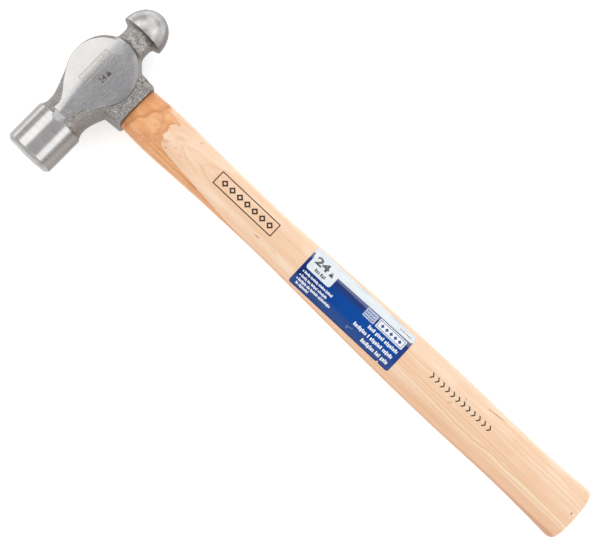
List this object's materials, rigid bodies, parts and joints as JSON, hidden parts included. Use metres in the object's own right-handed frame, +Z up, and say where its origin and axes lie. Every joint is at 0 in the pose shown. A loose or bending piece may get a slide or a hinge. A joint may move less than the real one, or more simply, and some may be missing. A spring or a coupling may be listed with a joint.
{
  "type": "ball peen hammer",
  "caption": "Ball peen hammer with a forged steel head, ground cheeks, a round striking face, a ball peen and an oval wooden handle wedged into the head, lying on its side.",
  "frame": {"origin": "middle of the bottom of the whole hammer's box, with the hammer lying on its side", "axes": "+X along the handle from the head to the butt, +Y along the head from the striking face to the ball, +Z up, square to the cheek that carries the size mark"},
  "size_m": [0.406, 0.117, 0.0322],
  "materials": {
    "forged_steel": "forged grey, ground bright on the face, ball and cheeks",
    "handle_wood": "clear lacquer over pale straight-grained hickory",
    "wedge_wood": "raw end grain",
    "wedge_steel": "plain steel, ground flush",
    "label_film": "printed film, soft gloss"
  },
  "bodies": {
    "root": {"head": "forged_steel", "handle": "handle_wood", "wood_wedge": "wedge_wood", "steel_wedge_face_side": "wedge_steel", "steel_wedge_ball_side": "wedge_steel", "label": "label_film"}
  },
  "joints": []
}
